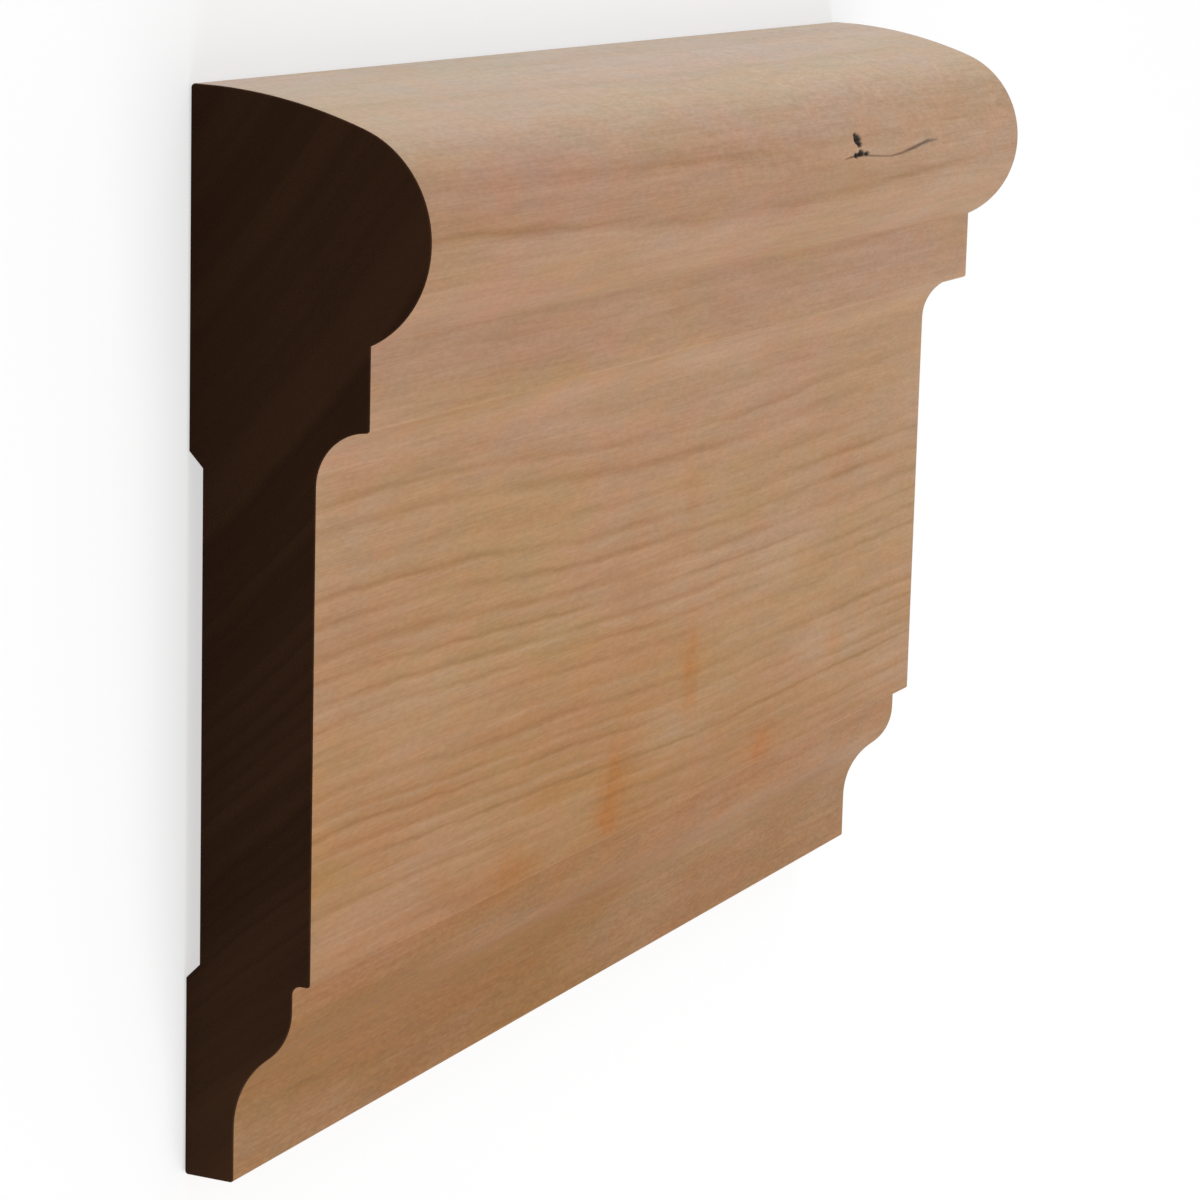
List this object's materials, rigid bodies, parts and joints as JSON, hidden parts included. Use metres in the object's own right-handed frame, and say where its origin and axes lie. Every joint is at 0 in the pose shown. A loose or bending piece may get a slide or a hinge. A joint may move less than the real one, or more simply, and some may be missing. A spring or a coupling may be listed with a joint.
{
  "type": "chair rail moulding",
  "caption": "Short length of solid wood chair rail moulding with a round nose, fillet, cove, flat face, ledge and ogee foot, and a relieved back that lies flat on a wall.",
  "frame": {"origin": "middle of the back, in the plane of the two lands that lie on the wall", "axes": "+X along the length, +Y up the wall towards the nose, +Z out of the wall through the moulded face"},
  "size_m": [0.166, 0.1124, 0.027],
  "materials": {
    "wood": "sanded pale reddish-brown hardwood with a silky sheen"
  },
  "bodies": {
    "root": {"chair_rail": "wood"}
  },
  "joints": []
}
